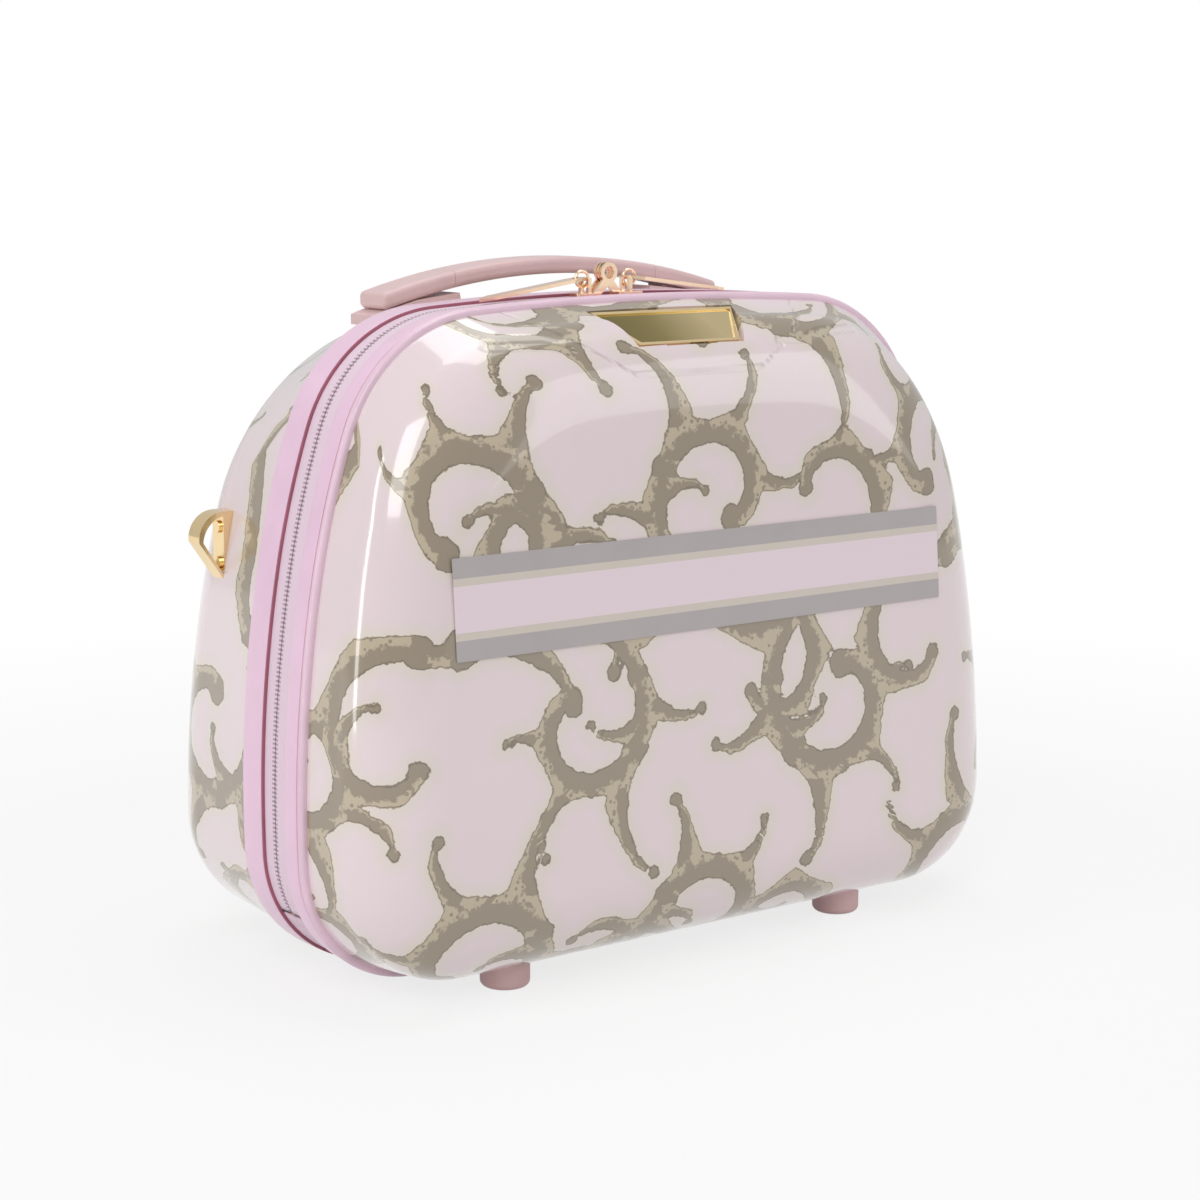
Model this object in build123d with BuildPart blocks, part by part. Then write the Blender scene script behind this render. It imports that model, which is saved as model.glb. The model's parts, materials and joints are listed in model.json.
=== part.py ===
from build123d import *
import os
from math import asin, cos, degrees, radians, sin, sqrt, tan

# A hard-shell vanity case: two moulded halves joined by a zip that runs over the top from one lower
# corner to the other, and by a fabric hinge along the bottom. Millimetres, +Z up, +X to the right of
# someone facing the lid, lid towards -Y, origin on the floor under the middle of the case.
# Distances called "y" below are measured from the parting line, negative into the lid.

# Outline of the halves at the parting line, one side of the centre: a flat bottom, a corner, two
# side arcs, a shoulder and the crown. Turns are tangent directions, 0 along the floor outwards.
half_width = 165.0
foot_height = 6.4
corner_radius = 49.9
corner_end = 88.2
side_radius = 531.0
side_end = 100.1
upper_side_radius = 351.0
upper_side_end = 109.5
shoulder_radius = 63.9
shoulder_end = 176.1

# How each half closes in from the parting line to its flat face. The shoulder softens on the way.
shoulder_growth = 48.9
shoulder_early = 8.6
lid_reach, lid_lean = 74.7, 4.4
base_reach, base_lean = 111.0, 5.2
lid_wall_share, lid_wall_draft, lid_round = 0.4, 2.3, 34.5
base_wall_share, base_wall_draft, base_round = 0.54, 2.5, 36.2
wall_steps = (0, 0.35, 0.7)
round_steps = (0, 22.5, 45, 67.5, 90)
wall = 2.4

# The pink band over the parting line: zip tapes sewn under a trim on each half.
lid_band, base_band = 22.7, 22.8
lid_rim_edge, base_rim_edge = 9.5, 8.5
tape_thickness = 1.0
trim_proud = 2.2
lid_tape_edge, base_tape_edge = 15.5, 15.5
lid_trim_edge, base_trim_edge = 9.0, 7.5
piping_width = 4.6
piping_proud = 2.6
sewn_gap = 0.05
zip_gap = 1.0
hinge_gap = 0.3
zip_foot = 32.0
coil_width, coil_height = 2.8, 1.8
stop_length, stop_rise = 4.0, 0.4

# Sliders, their rings and pulls
eye_x = -6.0
slider_offset = 10.5
slider_length, slider_width, slider_plate = 13.0, 9.6, 1.4
slider_clearance = 0.3
neck_length, neck_clearance = 4.0, 0.2
ring_radius, ring_wire = 3.2, 0.6
bar_radius, bar_span, bar_rise = 0.8, 5.2, 5.6
eye_radius, eye_hole, eye_plate, eye_spacing, eye_rise = 4.1, 2.5, 1.2, 2.0, 8.0
pull_length, pull_width, pull_tip, pull_thickness, pull_hole = 48.0, 7.0, 3.0, 1.4, 1.4
pull_overhang = 2.6

# Handle
handle_y = 51.0
handle_rise = 15.4
handle_bend = 300.0
handle_thickness, handle_depth = 7.0, 20.0
handle_edge, handle_tip_edge = 2.5, 2.1
grip_half, handle_half = 52.2, 87.0
grip_joint = 0.2
core_thickness, core_width, core_half = 1.2, 12.0, 79.0
mount_inner, mount_outer, mount_depth = 47.0, 91.0, 19.0
mount_inner_rise, mount_outer_rise = 1.9, -2.8
mount_clearance, mount_overrun, mount_slant = 0.3, 6.0, 3.0
tongue_x, tongue_length, tongue_depth = 66.0, 12.0, 9.6
tongue_clearance = 0.5
spigot_wall = 2.4
pin_radius, pin_length, pin_clearance = 1.5, 14.0, 0.05
pin_depth = 7.2
handle_lift = 5.0
spigot_depth, backing_depth = 10.4, 13.6
handle_screw_x = (53.0, 79.0)
handle_screw_depth = 3.8

# Fasteners
screw_radius, screw_clearance = 1.5, 0.15
screw_head_radius, screw_head = 2.8, 1.8
thread_clearance = 0.03
screw_seat = 0.8

# Name plate on the lid's upper edge, left blank
plate_y, plate_drop, plate_slope = -38.9, 9.4, 32.6
plate_top, plate_bottom, plate_height = 72.0, 51.0, 22.4
plate_frame_width, plate_frame_thickness, plate_panel_thickness = 1.6, 2.0, 1.4
plate_margin = 1.4
stud_radius, stud_spacing = 1.2, 36.0
clip_radius, clip_thickness = 3.2, 1.2

# Printed strip on the lid's face
strip_width, strip_height, strip_z, strip_thickness, strip_corner = 248.2, 39.0, 156.5, 0.6, 0.6

# Strap loops on the base's sides
loop_y, loop_width = 59.0, 9.0
loop_bottom, loop_top, loop_bulge_z = 155.0, 183.5, 172.5
loop_reach, loop_metal, loop_seat = 13.0, 1.8, 2.0
loop_base_x = 153.5
rivet_radius, rivet_z, rivet_head_radius, rivet_head = 1.5, (162.5, 177.0), 2.6, 1.0
washer_radius, washer_thickness = 4.0, 1.2

# Feet
foot_x, lid_foot_y, base_foot_y = 87.6, 42.5, 64.0
foot_radius, foot_edge = 10.0, 2.5

# Lining
lining_gap, lining_thickness, lining_lip = 3.6, 0.8, 0.8
cover_clearance = 0.6
pocket_spacing, pocket_thickness, pocket_height = 9.0, 0.8, 138.0
elastic_height, elastic_thickness = 9.0, 1.6

os.makedirs("parts", exist_ok=True)

# Derived places
side_start = sin(radians(corner_end))
bottom_half = half_width - corner_radius * side_start - side_radius * (1 - side_start)
lid_slope, base_slope = tan(radians(lid_lean)), tan(radians(base_lean))
lid_front = lid_reach - lid_slope * (foot_height + lid_wall_draft + lid_round)
base_back = base_reach - base_slope * (foot_height + base_wall_draft + base_round)
parting_y = (lid_front - base_back) / 2
hinge_z = foot_height - trim_proud


def place(y):
    # Sketch plane facing the lid, at a distance y from the parting line
    return Plane.XZ.offset(-(parting_y + y))


def outline(inset, share=0.0):
    # The case's outline moved inwards by inset; share is how far it lies towards the flat face
    side_turn = upper_side_end - shoulder_early * share
    shoulder = shoulder_radius + shoulder_growth * share - inset
    with BuildSketch() as sketch:
        with BuildLine():
            bottom = Line((0, foot_height + inset), (bottom_half, foot_height + inset))
            corner = JernArc(bottom @ 1, bottom % 1, corner_radius - inset, corner_end)
            side = JernArc(corner @ 1, corner % 1, side_radius - inset, side_end - corner_end)
            upper = JernArc(side @ 1, side % 1, upper_side_radius - inset, side_turn - side_end)
            bend = JernArc(upper @ 1, upper % 1, shoulder, shoulder_end - side_turn)
            crown_turn = 180 - shoulder_end
            JernArc(bend @ 1, bend % 1, (bend @ 1).X / sin(radians(crown_turn)), crown_turn)
            mirror(about=Plane.YZ)
        make_face()
    return sketch.sketch


def crown():
    # Height of the outline's top at the parting line, and its crown's radius
    box = outline(0).bounding_box()
    turns = [
        (corner_radius, 0, corner_end),
        (side_radius, corner_end, side_end),
        (upper_side_radius, side_end, upper_side_end),
        (shoulder_radius, upper_side_end, shoulder_end),
    ]
    reach = bottom_half + sum(r * (sin(radians(b)) - sin(radians(a))) for r, a, b in turns)
    return box.max.Y, reach / sin(radians(180 - shoulder_end))


crown_z, crown_radius = crown()
stud_length = wall + 2.2 * clip_thickness
plate_z = crown_z - plate_drop
handle_crest = crown_z + handle_rise
mount_inner_top, mount_outer_top = crown_z + mount_inner_rise, crown_z + mount_outer_rise
pin_height = crown_z - pin_depth
spigot_bottom, backing_bottom = crown_z - spigot_depth, crown_z - backing_depth
handle_screw_top = crown_z - handle_screw_depth


def leaning_plane(side, reach, slope, band, share):
    # One of a fan of planes from the band's edge (share 0, upright) to the flat face (share 1)
    y = parting_y + side * (band + (reach - band) * share)
    return Plane(origin=(0, y, 0), x_dir=(1, 0, 0), z_dir=(0, -1, side * -slope * share))


def half_form(side, inset, rim_edge):
    # The solid outer shape of one half, inset all round: a straight rim, then the closing-in part
    if side < 0:
        reach, slope, band = lid_reach, lid_slope, lid_band
        share, draft, rounding = lid_wall_share, lid_wall_draft, lid_round
    else:
        reach, slope, band = base_reach, base_slope, base_band
        share, draft, rounding = base_wall_share, base_wall_draft, base_round
    steps = [(share * part, draft * part) for part in wall_steps]
    for turn in round_steps:
        along = share + (1 - share) * sin(radians(turn))
        steps.append((along, draft + rounding * (1 - cos(radians(turn)))))
    with BuildPart() as form:
        for along, pull_in in steps:
            with BuildSketch(leaning_plane(side, reach - inset, slope, band, along)):
                add(outline(inset + pull_in, along))
        loft()
        with BuildSketch(place(side * rim_edge)):
            add(outline(inset))
        extrude(amount=-side * (band - rim_edge))
    return form.part


def hoop(inner, outer, start, stop):
    # A ring round the outline between two insets, from one y to another
    with BuildPart() as ring:
        with BuildSketch(place(start)):
            add(outline(inner))
            add(outline(outer), mode=Mode.SUBTRACT)
        extrude(amount=start - stop)
    return ring.part


def block(x, y, z, centre_x, centre_y, centre_z):
    # A plain block by its sizes and centre, y from the parting line
    with BuildPart() as body:
        with Locations((centre_x, parting_y + centre_y, centre_z)):
            Box(x, y, z)
    return body.part


def post(radius, length, x, y, bottom):
    # An upright round post from its bottom, y from the parting line
    with BuildPart() as body:
        with Locations((x, parting_y + y, bottom)):
            Cylinder(radius, length, align=(Align.CENTER, Align.CENTER, Align.MIN))
    return body.part


def save(part, label):
    part.label = label
    export_step(part, f"parts/{label}.step")


lid_outer = half_form(-1, 0, lid_rim_edge)
base_outer = half_form(1, 0, base_rim_edge)
lid_inner = half_form(-1, wall, lid_rim_edge)
base_inner = half_form(1, wall, base_rim_edge)

# Name plate: a sloping seat is cut into the lid's upper edge and backed from inside
plate_plane = Plane(
    origin=(0, parting_y + plate_y, plate_z),
    x_dir=(1, 0, 0),
    z_dir=(0, -sin(radians(plate_slope)), cos(radians(plate_slope))),
)
seat_plane = plate_plane.offset(-plate_frame_thickness)


def plate_outline(grow):
    # The plate's trapezium, wider at the top, grown or shrunk all round
    top, bottom, half = plate_top / 2 + grow, plate_bottom / 2 + grow, plate_height / 2 + grow
    with BuildSketch() as sketch:
        with BuildLine():
            Polyline((-bottom, -half), (bottom, -half), (top, half), (-top, half), close=True)
        make_face()
    return sketch.sketch


with BuildPart() as plate_recess:
    with BuildSketch(seat_plane):
        add(plate_outline(plate_margin))
    extrude(amount=4 * plate_frame_thickness)

with BuildPart() as plate_backing:
    with BuildSketch(seat_plane):
        add(plate_outline(plate_margin + wall))
    extrude(amount=-wall)

with BuildPart() as studs:
    with BuildSketch(seat_plane):
        with GridLocations(stud_spacing, 0, 2, 1):
            Circle(stud_radius)
    extrude(amount=-stud_length)

with BuildPart() as stud_holes:
    with BuildSketch(seat_plane):
        with GridLocations(stud_spacing, 0, 2, 1):
            Circle(stud_radius + thread_clearance)
    extrude(amount=-3 * wall)

with BuildPart() as stud_clips:
    with BuildSketch(seat_plane.offset(-wall)):
        with GridLocations(stud_spacing, 0, 2, 1):
            Circle(clip_radius)
            Circle(stud_radius + thread_clearance, mode=Mode.SUBTRACT)
    extrude(amount=-clip_thickness)


def foot_places(y):
    return [(-foot_x, y), (foot_x, y)]


def foot_screw_top(y, form):
    # Height of the inner face above a foot
    probe = post(0.2, 4 * foot_radius, foot_x, y, 0) & form
    return probe.bounding_box().min.Z


def drill(form, places, radius, bottom, length):
    # Upright holes through a solid
    with BuildPart() as drilled:
        add(form)
        for x, y in places:
            add(post(radius, length, x, y, bottom), mode=Mode.SUBTRACT)
    return drilled.part


lid_feet = foot_places(-lid_foot_y)
base_feet = foot_places(base_foot_y)
lid_floor = foot_screw_top(-lid_foot_y, lid_inner)
base_floor = foot_screw_top(base_foot_y, base_inner)

with BuildPart() as front_shell:
    add(lid_outer)
    add(plate_recess.part, mode=Mode.SUBTRACT)
    add(lid_inner - plate_backing.part, mode=Mode.SUBTRACT)
    add(stud_holes.part, mode=Mode.SUBTRACT)
save(drill(front_shell.part, lid_feet, screw_radius + screw_clearance, 0, lid_floor + wall), "front_shell")

with BuildPart() as plate_frame:
    with BuildSketch(seat_plane):
        add(plate_outline(0))
        add(plate_outline(-plate_frame_width), mode=Mode.SUBTRACT)
    extrude(amount=plate_frame_thickness)
save(plate_frame.part, "plate_frame")

with BuildPart() as name_plate:
    with BuildSketch(seat_plane):
        add(plate_outline(-plate_frame_width - sewn_gap))
    extrude(amount=plate_panel_thickness)
    add(studs.part)
save(name_plate.part, "name_plate")
save(stud_clips.part, "plate_clips")

face_plane = leaning_plane(-1, lid_reach, lid_slope, lid_band, 1)
with BuildPart() as front_strip:
    with BuildSketch(face_plane.offset(-strip_thickness)):
        with Locations((0, strip_z / cos(radians(lid_lean)))):
            RectangleRounded(strip_width, strip_height, strip_corner)
    extrude(amount=2 * strip_thickness)
    add(lid_outer, mode=Mode.SUBTRACT)
save(front_strip.part, "front_strip")


# Handle mounts: a moulded block on the crown with a spigot through the shell
def handle_arc(grow, start, stop, depth):
    # A length of the bowed handle from one x to another, grown in thickness, centred on handle_y
    middle = handle_crest - handle_thickness / 2
    outer = handle_bend + handle_thickness / 2 + grow
    inner = handle_bend - handle_thickness / 2 - grow
    with BuildPart() as bow:
        with BuildSketch(place(handle_y + depth / 2)):
            with Locations((0, middle - handle_bend)):
                Circle(outer)
                Circle(inner, mode=Mode.SUBTRACT)
            with Locations(((start + stop) / 2, middle)):
                Rectangle(stop - start, handle_bend / 3, mode=Mode.INTERSECT)
        extrude(amount=depth)
    return bow.part


def mount_pieces(sign):
    centre = sign * (mount_inner + mount_outer) / 2
    length = mount_outer - mount_inner
    spigot = tongue_length + 2 * (tongue_clearance + spigot_wall)
    spigot_breadth = pin_length + 2 * (pin_clearance + spigot_wall / 2)
    with BuildPart() as mount:
        with BuildSketch(place(handle_y + mount_depth / 2)):
            with BuildLine():
                Polyline(
                    (sign * mount_inner, spigot_bottom),
                    (sign * mount_outer, spigot_bottom),
                    (sign * mount_outer, mount_outer_top),
                    (sign * (mount_inner + mount_slant), mount_inner_top),
                    close=True,
                )
            make_face()
        extrude(amount=mount_depth)
        add(base_outer, mode=Mode.SUBTRACT)
        add(block(spigot, spigot_breadth, 9, sign * tongue_x, handle_y, spigot_bottom + 4.5))
        swept = handle_half + mount_overrun
        add(handle_arc(mount_clearance, -swept, swept, 2 * handle_depth), mode=Mode.SUBTRACT)
        wide = tongue_length + 2 * tongue_clearance
        deep = tongue_depth + 2 * tongue_clearance
        add(block(wide, deep, 60, sign * tongue_x, handle_y, spigot_bottom), mode=Mode.SUBTRACT)
        slot_top = pin_height + pin_radius + handle_lift + pin_clearance
        slot = slot_top - spigot_bottom + 1
        add(
            block(
                2 * (pin_radius + pin_clearance),
                pin_length + 2 * pin_clearance,
                slot,
                sign * tongue_x,
                handle_y,
                slot_top - slot / 2,
            ),
            mode=Mode.SUBTRACT,
        )
        for x in handle_screw_x:
            add(
                post(screw_radius + thread_clearance, handle_screw_top - 200, sign * x, handle_y, 200),
                mode=Mode.SUBTRACT,
            )
    hole = block(
        spigot + 2 * tongue_clearance,
        spigot_breadth + 2 * tongue_clearance,
        40,
        sign * tongue_x,
        handle_y,
        spigot_bottom,
    )
    with BuildPart() as backing:
        middle = (backing_bottom + crown_z) / 2
        add(block(length, mount_depth, crown_z - backing_bottom, centre, handle_y, middle))
        add(base_inner, mode=Mode.INTERSECT)
        pocket = crown_z - spigot_bottom + sewn_gap
        add(
            block(
                spigot + 2 * tongue_clearance,
                spigot_breadth + 2 * tongue_clearance,
                pocket,
                sign * tongue_x,
                handle_y,
                crown_z - pocket / 2,
            ),
            mode=Mode.SUBTRACT,
        )
        for x in handle_screw_x:
            add(post(screw_radius + screw_clearance, 60, sign * x, handle_y, 220), mode=Mode.SUBTRACT)
    return mount.part, hole, backing.part


left_mount, left_hole, left_backing = mount_pieces(-1)
right_mount, right_hole, right_backing = mount_pieces(1)
save(left_mount, "handle_mount_left")
save(right_mount, "handle_mount_right")
save(left_backing, "handle_backing_left")
save(right_backing, "handle_backing_right")

with BuildPart() as handle_screws:
    for sign in (-1, 1):
        for x in handle_screw_x:
            add(post(screw_radius, handle_screw_top - backing_bottom, sign * x, handle_y, backing_bottom))
            add(post(screw_head_radius, screw_head, sign * x, handle_y, backing_bottom - screw_head))
save(handle_screws.part, "handle_screws")

# The handle: a soft grip and two end caps on a flat spring-steel core, lifting on cross pins
core_grow = (core_thickness - handle_thickness) / 2
save(handle_arc(core_grow, -core_half, core_half, core_width), "handle_core")

with BuildPart() as handle_grip:
    add(handle_arc(0, -grip_half, grip_half, handle_depth))
    fillet(handle_grip.edges().filter_by(GeomType.CIRCLE), handle_edge)
    add(handle_arc(core_grow, -core_half, core_half, core_width), mode=Mode.SUBTRACT)
save(handle_grip.part, "handle_grip")

for sign, name in ((-1, "left"), (1, "right")):
    start, stop = sorted((sign * (grip_half + grip_joint), sign * handle_half))
    with BuildPart() as handle_end:
        add(handle_arc(0, start, stop, handle_depth))
        fillet(handle_end.edges().filter_by(GeomType.CIRCLE), handle_edge)
        tip = handle_end.faces().sort_by(Axis.X)[-1 if sign > 0 else 0]
        fillet(tip.edges(), handle_tip_edge)
        bend_drop = handle_bend - sqrt(handle_bend**2 - tongue_x**2)
        tongue_top = handle_crest - handle_thickness - bend_drop + 1.5
        tongue_bottom = pin_height - 2.2
        add(
            block(
                tongue_length,
                tongue_depth,
                tongue_top - tongue_bottom,
                sign * tongue_x,
                handle_y,
                (tongue_top + tongue_bottom) / 2,
            )
        )
        add(handle_arc(core_grow, -core_half, core_half, core_width), mode=Mode.SUBTRACT)
        with BuildSketch(place(handle_y + handle_depth)):
            with Locations((sign * tongue_x, pin_height)):
                Circle(pin_radius + thread_clearance)
        extrude(amount=2 * handle_depth, mode=Mode.SUBTRACT)
    save(handle_end.part, f"handle_end_{name}")
    with BuildPart() as handle_pin:
        with BuildSketch(place(handle_y + pin_length / 2)):
            with Locations((sign * tongue_x, pin_height)):
                Circle(pin_radius)
        extrude(amount=pin_length)
    save(handle_pin.part, f"handle_pin_{name}")


# Strap loops: a teardrop of flat metal standing out from each side, riveted through the shell
def loop_profile(sign, grow):
    base_x, far = loop_base_x - loop_seat - 4, loop_base_x + loop_reach + grow
    foot, head = loop_bottom - grow, loop_top + grow
    with BuildSketch() as sketch:
        with BuildLine():
            inside = Line((sign * base_x, head), (sign * base_x, foot))
            run = Line(inside @ 1, (sign * (loop_base_x + 1.5), foot))
            rise = Line(run @ 1, (sign * far, loop_bulge_z - 1))
            ThreePointArc(
                rise @ 1,
                (sign * (loop_base_x + loop_reach * 0.78 + grow), head - 3.6),
                (sign * (loop_base_x + 2), head),
            )
            Line((sign * (loop_base_x + 2), head), inside @ 0)
        make_face()
    return sketch.sketch


def strap_loop(sign):
    with BuildPart() as loop:
        with BuildSketch(place(loop_y + loop_width / 2)):
            add(loop_profile(sign, 0))
            with BuildSketch(mode=Mode.PRIVATE) as window:
                add(loop_profile(sign, -loop_metal))
                with Locations((sign * (loop_base_x - 50), loop_bulge_z)):
                    Rectangle(100 + 2 * loop_seat, 100, mode=Mode.SUBTRACT)
            add(window.sketch, mode=Mode.SUBTRACT)
        extrude(amount=loop_width)
        add(base_outer, mode=Mode.SUBTRACT)
    return loop.part


def cross_post(radius, start, stop, z):
    # A round post along X between two x positions, in the loops' plane
    with BuildPart() as body:
        with BuildSketch(Plane.YZ.offset(start)):
            with Locations((parting_y + loop_y, z)):
                Circle(radius)
        extrude(amount=stop - start)
    return body.part


def inner_face_x(z):
    # Where the base's inner face lies beside a rivet
    probe = cross_post(0.2, 0, half_width, z) & base_inner
    return probe.bounding_box().max.X


rivet_cuts, rivets, washers = [], [], []
for sign in (-1, 1):
    for z in rivet_z:
        inner_x = inner_face_x(z) - washer_thickness
        head_x = loop_base_x + loop_seat
        ends = sorted((sign * inner_x, sign * (head_x + rivet_head)))
        rivets.append(cross_post(rivet_radius, ends[0], ends[1], z))
        flats = sorted((sign * head_x, sign * (head_x + rivet_head)))
        rivets[-1] += cross_post(rivet_head_radius, flats[0], flats[1], z)
        rivet_cuts.append(cross_post(rivet_radius + thread_clearance, ends[0], ends[1], z))
        backs = sorted((sign * inner_x, sign * (inner_x + 3 * washer_thickness)))
        washer = cross_post(washer_radius, backs[0], backs[1], z) & base_inner
        washers.append(washer - rivet_cuts[-1])

for sign, name in ((-1, "left"), (1, "right")):
    with BuildPart() as loop:
        add(strap_loop(sign))
        add(rivet_cuts, mode=Mode.SUBTRACT)
    save(loop.part, f"strap_loop_{name}")
save(Compound(children=rivets), "loop_rivets")
save(Compound(children=washers), "loop_washers")

with BuildPart() as rear_shell:
    add(base_outer)
    add(base_inner, mode=Mode.SUBTRACT)
    add([left_hole, right_hole], mode=Mode.SUBTRACT)
    add(rivet_cuts, mode=Mode.SUBTRACT)
    for sign in (-1, 1):
        for x in handle_screw_x:
            add(post(screw_radius + screw_clearance, 60, sign * x, handle_y, 220), mode=Mode.SUBTRACT)
save(drill(rear_shell.part, base_feet, screw_radius + screw_clearance, 0, base_floor + wall), "rear_shell")


# Feet, each held by a screw from inside
def feet(places, form):
    with BuildPart() as group:
        for x, y in places:
            with Locations((x, parting_y + y, 0)):
                Cylinder(foot_radius, 3 * foot_height, align=(Align.CENTER, Align.CENTER, Align.MIN))
        fillet(group.edges().filter_by(GeomType.CIRCLE).group_by(Axis.Z)[0], foot_edge)
        add(form, mode=Mode.SUBTRACT)
    return group.part


def foot_screws(places, floor, bottom):
    with BuildPart() as group:
        for x, y in places:
            add(post(screw_radius, floor - bottom, x, y, bottom))
            add(post(screw_head_radius, screw_head, x, y, floor))
    return group.part


screw_bottom = foot_height - wall - foot_edge / 2
for name, places, form, floor in (
    ("front", lid_feet, lid_outer, lid_floor),
    ("rear", base_feet, base_outer, base_floor),
):
    group = feet(places, form)
    bored = drill(group, places, screw_radius + thread_clearance, screw_bottom, 3 * foot_height)
    save(bored, f"{name}_feet")
    save(foot_screws(places, floor + screw_seat, screw_bottom), f"{name}_foot_screws")

# Band: trims, piping, tapes, coils and the fabric hinge
base_trim = hoop(-trim_proud, -tape_thickness, base_trim_edge, base_band)
base_trim += hoop(-tape_thickness, 0, base_tape_edge + sewn_gap, base_band)
save(base_trim, "rear_trim")
lid_trim_end = lid_band - piping_width - sewn_gap
lid_trim = hoop(-trim_proud, -tape_thickness, -lid_trim_edge, -lid_trim_end)
lid_trim += hoop(-tape_thickness, 0, -lid_tape_edge - sewn_gap, -lid_trim_end)
save(lid_trim, "front_trim")
save(hoop(-piping_proud, 0, -(lid_band - piping_width), -lid_band), "front_piping")

above = block(4 * half_width, 4 * half_width, 400, 0, 0, zip_foot + sewn_gap + 200)
below = block(4 * half_width, 4 * half_width, 400, 0, 0, zip_foot - sewn_gap - 200)
tapes = (
    ("rear", zip_gap / 2, hinge_gap / 2, base_tape_edge, 1),
    ("front", zip_gap / 2, hinge_gap / 2, lid_tape_edge, -1),
)
for name, zip_edge, hinge_edge, edge, side in tapes:
    tape = hoop(-tape_thickness, 0, side * zip_edge, side * edge)
    hinge = hoop(-tape_thickness, 0, side * hinge_edge, side * edge)
    coil = hoop(0, coil_height, side * zip_edge, side * (zip_edge + coil_width))
    save(tape & above, f"zip_tape_{name}")
    save(coil & above, f"zip_coil_{name}")
    save(hinge & below, f"hinge_tape_{name}")

stop_hoop = hoop(0, coil_height + stop_rise, zip_gap / 2, zip_gap / 2 + coil_width)
stop_box = block(4 * half_width, 4 * half_width, stop_length, 0, 0, zip_foot - stop_length / 2)
save(stop_hoop & stop_box, "zip_stops")


# Sliders: two plates either side of the tapes, joined by a neck in the zip's gap, with a bar for
# the ring of the pull and upright eyes that interleave where the two sliders meet
plate_low = tape_thickness + slider_clearance
plate_high = plate_low + slider_plate
bar_height = plate_high + bar_rise
under_high = coil_height + slider_clearance


def on_crown(x):
    # Height of the outline's crown at x
    return crown_z - crown_radius + sqrt(crown_radius**2 - x**2)


def slider(sign, eye_offsets):
    x = eye_x + sign * slider_offset
    z = on_crown(x)
    under = under_high + slider_plate / 2
    with BuildPart() as body:
        add(block(slider_length, slider_width, slider_plate, x, 0, z + plate_low + slider_plate / 2))
        fillet(body.edges().filter_by(Axis.Z), slider_width / 4)
        add(block(slider_length, slider_width, slider_plate, x, 0, z - under))
        neck = plate_low + under_high + slider_plate
        thick = zip_gap - 2 * neck_clearance
        add(block(neck_length, thick, neck, x, 0, z + (plate_low - under_high) / 2))
        for y in (-bar_span / 2, bar_span / 2):
            middle = z + plate_high + bar_rise / 2
            add(block(2 * bar_radius, 2 * bar_radius, bar_rise + bar_radius, x, y, middle))
        with BuildSketch(place(bar_span / 2)):
            with Locations((x, z + bar_height)):
                Circle(bar_radius)
        extrude(amount=bar_span)
        for y in eye_offsets:
            with BuildSketch(place(y + eye_plate / 2)):
                with Locations((eye_x, z + plate_high + eye_rise)):
                    Circle(eye_radius)
                with BuildLine():
                    Polyline(
                        (eye_x - sign * eye_radius * 0.6, z + plate_high + eye_rise - eye_radius * 0.7),
                        (eye_x + sign * eye_radius * 0.7, z + plate_high + eye_rise - eye_radius * 0.6),
                        (x - sign * slider_length * 0.15, z + plate_low + 0.2),
                        (x - sign * slider_length * 0.45, z + plate_low + 0.2),
                        close=True,
                    )
                make_face()
                with Locations((eye_x, z + plate_high + eye_rise)):
                    Circle(eye_hole, mode=Mode.SUBTRACT)
            extrude(amount=eye_plate)
    return body.part


def pull(sign):
    # A wire ring round the slider's bar and a flat pull that slopes down onto the band
    x = eye_x + sign * slider_offset
    bar_z = on_crown(x) + bar_height
    slack = ring_radius - ring_wire - bar_radius - neck_clearance
    ring_x, hole_x = x + sign * slack, x + sign * (slack + ring_radius)
    tip_x = hole_x + sign * pull_length
    rest_z = on_crown(tip_x) + trim_proud + neck_clearance
    hole_z = bar_z - neck_clearance
    fall = degrees(asin((hole_z - pull_thickness / 2 - rest_z) / pull_length))
    with BuildPart() as ring:
        with BuildSketch(Plane(origin=(ring_x, parting_y, bar_z), x_dir=(0, 1, 0), z_dir=(sign, 0, 0))):
            with Locations((0, ring_radius)):
                Circle(ring_wire)
        ring_axis = Axis((ring_x, parting_y, bar_z), (0, 1, 0))
        revolve(axis=ring_axis)
    lie = Plane(
        origin=(hole_x, parting_y, hole_z),
        x_dir=(sign * cos(radians(fall)), 0, -sin(radians(fall))),
        z_dir=(sign * sin(radians(fall)), 0, cos(radians(fall))),
    )
    with BuildPart() as plate:
        with BuildSketch(lie.offset(-pull_thickness / 2)):
            with BuildLine():
                Polyline(
                    (-pull_overhang, pull_width * 0.28),
                    (pull_overhang, pull_width / 2),
                    (pull_length - pull_tip * 2, pull_width / 2),
                    (pull_length, 0),
                    (pull_length - pull_tip * 2, -pull_width / 2),
                    (pull_overhang, -pull_width / 2),
                    (-pull_overhang, -pull_width * 0.28),
                    close=True,
                )
            make_face()
            Circle(pull_hole, mode=Mode.SUBTRACT)
        extrude(amount=pull_thickness)
    return ring.part, plate.part


for sign, name, offsets in ((-1, "left", (-eye_spacing, eye_spacing)), (1, "right", (0,))):
    save(slider(sign, offsets), f"slider_{name}")
    ring_part, plate_part = pull(sign)
    save(ring_part, f"pull_ring_{name}")
    save(plate_part, f"zip_pull_{name}")


# Lining: a fabric bowl in each half, its lip at the rim, raised over the fixings that stand inside
def handle_cover(sign, grow):
    # The space round a handle mount's backing and screws
    length = mount_outer - mount_inner + 2 * (cover_clearance + grow)
    depth = mount_depth + 2 * (cover_clearance + grow)
    low = backing_bottom - screw_head - cover_clearance - grow
    centre = sign * (mount_inner + mount_outer) / 2
    return block(length, depth, crown_z - low, centre, handle_y, (low + crown_z) / 2)


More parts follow.
